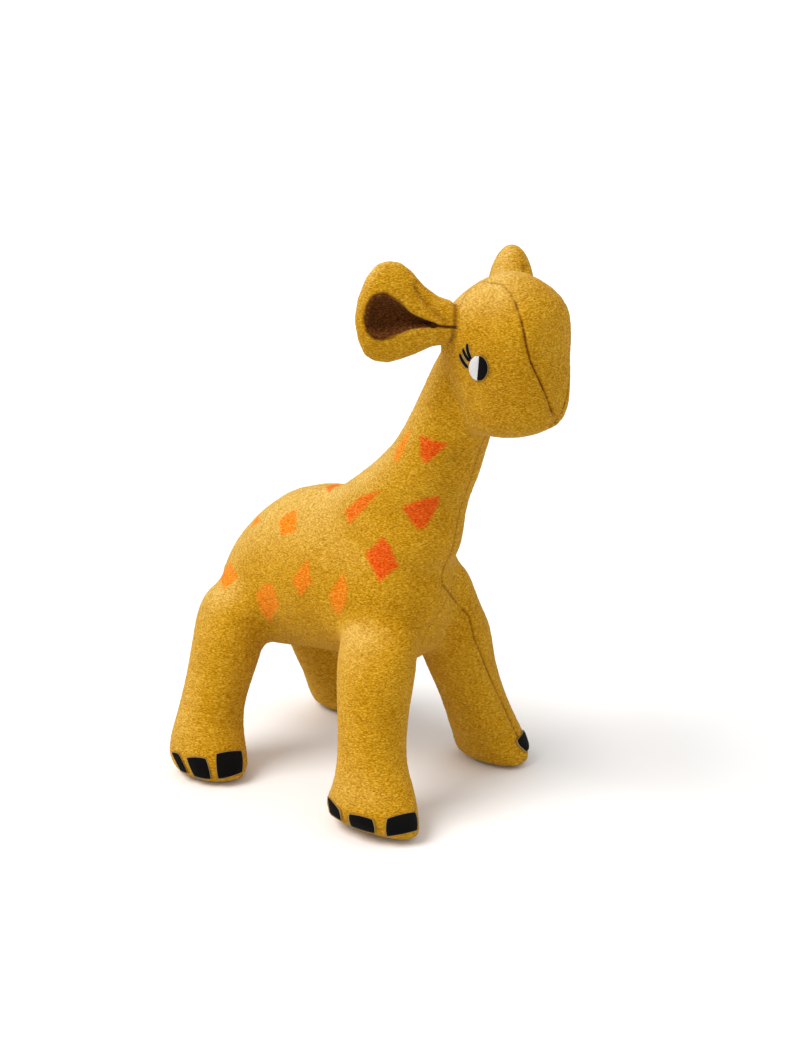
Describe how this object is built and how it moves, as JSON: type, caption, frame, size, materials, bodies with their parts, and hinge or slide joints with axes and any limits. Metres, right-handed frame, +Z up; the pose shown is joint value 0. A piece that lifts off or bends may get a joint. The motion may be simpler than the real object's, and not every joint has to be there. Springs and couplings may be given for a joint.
{
  "type": "plush giraffe",
  "caption": "Standing stuffed giraffe of felted fleece with a long neck, cupped ears, embroidered eyes and toenails, and printed patches.",
  "frame": {"origin": "bottom centre of the bounding box, on the surface that the four feet stand on", "axes": "+Z up, the giraffe faces -Y, its left side is +X"},
  "size_m": [0.1644, 0.2484, 0.3286],
  "materials": {
    "mustard_fleece": "matt felted knit with a short raised fuzz, mustard yellow",
    "ear_lining": "matt felted fabric, dark brown",
    "black_thread": "dense satin stitch in slightly shiny black thread",
    "white_thread": "dense satin stitch in slightly shiny white thread",
    "fibrefill": "loose polyester fibre, hidden inside the panels"
  },
  "bodies": {
    "trunk": {"trunk_stuffing": "fibrefill", "right_side_panel": "mustard_fleece", "left_side_panel": "mustard_fleece", "belly_gusset": "mustard_fleece"},
    "neck": {"neck_stuffing": "fibrefill", "right_neck_panel": "mustard_fleece", "left_neck_panel": "mustard_fleece"},
    "head": {"head_stuffing": "fibrefill", "head_gusset": "mustard_fleece", "right_head_panel": "mustard_fleece", "left_head_panel": "mustard_fleece", "right_eye_black": "black_thread", "right_eye_white": "white_thread", "left_eye_black": "black_thread", "left_eye_white": "white_thread"},
    "right_ear": {"right_ear_back": "mustard_fleece", "right_ear_lining": "ear_lining"},
    "left_ear": {"left_ear_back": "mustard_fleece", "left_ear_lining": "ear_lining"},
    "right_front_leg": {"right_front_leg_stuffing": "fibrefill", "right_front_leg_outer_panel": "mustard_fleece", "right_front_leg_inner_panel": "mustard_fleece", "right_front_leg_rear_toenail": "black_thread", "right_front_leg_middle_toenail": "black_thread", "right_front_leg_front_toenail": "black_thread"},
    "left_front_leg": {"left_front_leg_stuffing": "fibrefill", "left_front_leg_outer_panel": "mustard_fleece", "left_front_leg_inner_panel": "mustard_fleece", "left_front_leg_rear_toenail": "black_thread", "left_front_leg_middle_toenail": "black_thread", "left_front_leg_front_toenail": "black_thread"},
    "right_rear_leg": {"right_rear_leg_stuffing": "fibrefill", "right_rear_leg_outer_panel": "mustard_fleece", "right_rear_leg_inner_panel": "mustard_fleece", "right_rear_leg_rear_toenail": "black_thread", "right_rear_leg_middle_toenail": "black_thread", "right_rear_leg_front_toenail": "black_thread"},
    "left_rear_leg": {"left_rear_leg_stuffing": "fibrefill", "left_rear_leg_outer_panel": "mustard_fleece", "left_rear_leg_inner_panel": "mustard_fleece", "left_rear_leg_rear_toenail": "black_thread", "left_rear_leg_middle_toenail": "black_thread", "left_rear_leg_front_toenail": "black_thread"},
    "tail": {"tail_cloth": "mustard_fleece"}
  },
  "joints": [
    {"name": "neck_bend", "type": "hinge", "parent": "trunk", "child": "neck", "pos_m": [0, -0.02224, 0.163], "axis": [1, 0, 0], "range_deg": [-10, 10], "stiffness_Nm_per_rad": 4},
    {"name": "head_turn", "type": "hinge", "parent": "neck", "child": "head", "pos_m": [0, -0.05858, 0.25294], "axis": [0, -0.3746, 0.9272], "range_deg": [-20, 20], "stiffness_Nm_per_rad": 1},
    {"name": "right_ear_fold", "type": "hinge", "parent": "head", "child": "right_ear", "pos_m": [-0.0245, -0.07108, 0.29794], "axis": [0, 0, 1], "range_deg": [-25, 25], "stiffness_Nm_per_rad": 0.05},
    {"name": "left_ear_fold", "type": "hinge", "parent": "head", "child": "left_ear", "pos_m": [0.0245, -0.07108, 0.29794], "axis": [0, 0, 1], "range_deg": [-25, 25], "stiffness_Nm_per_rad": 0.05},
    {"name": "right_front_leg_flex", "type": "hinge", "parent": "trunk", "child": "right_front_leg", "pos_m": [-0.039, -0.02624, 0.076], "axis": [1, 0, 0], "range_deg": [-8, 8], "stiffness_Nm_per_rad": 2},
    {"name": "left_front_leg_flex", "type": "hinge", "parent": "trunk", "child": "left_front_leg", "pos_m": [0.039, -0.02624, 0.076], "axis": [1, 0, 0], "range_deg": [-8, 8], "stiffness_Nm_per_rad": 2},
    {"name": "right_rear_leg_flex", "type": "hinge", "parent": "trunk", "child": "right_rear_leg", "pos_m": [-0.0365, 0.08076, 0.076], "axis": [1, 0, 0], "range_deg": [-8, 8], "stiffness_Nm_per_rad": 2},
    {"name": "left_rear_leg_flex", "type": "hinge", "parent": "trunk", "child": "left_rear_leg", "pos_m": [0.0365, 0.08076, 0.076], "axis": [1, 0, 0], "range_deg": [-8, 8], "stiffness_Nm_per_rad": 2},
    {"name": "tail_swing", "type": "hinge", "parent": "trunk", "child": "tail", "pos_m": [0, 0.10876, 0.112], "axis": [1, 0, 0], "range_deg": [0, 60]}
  ]
}
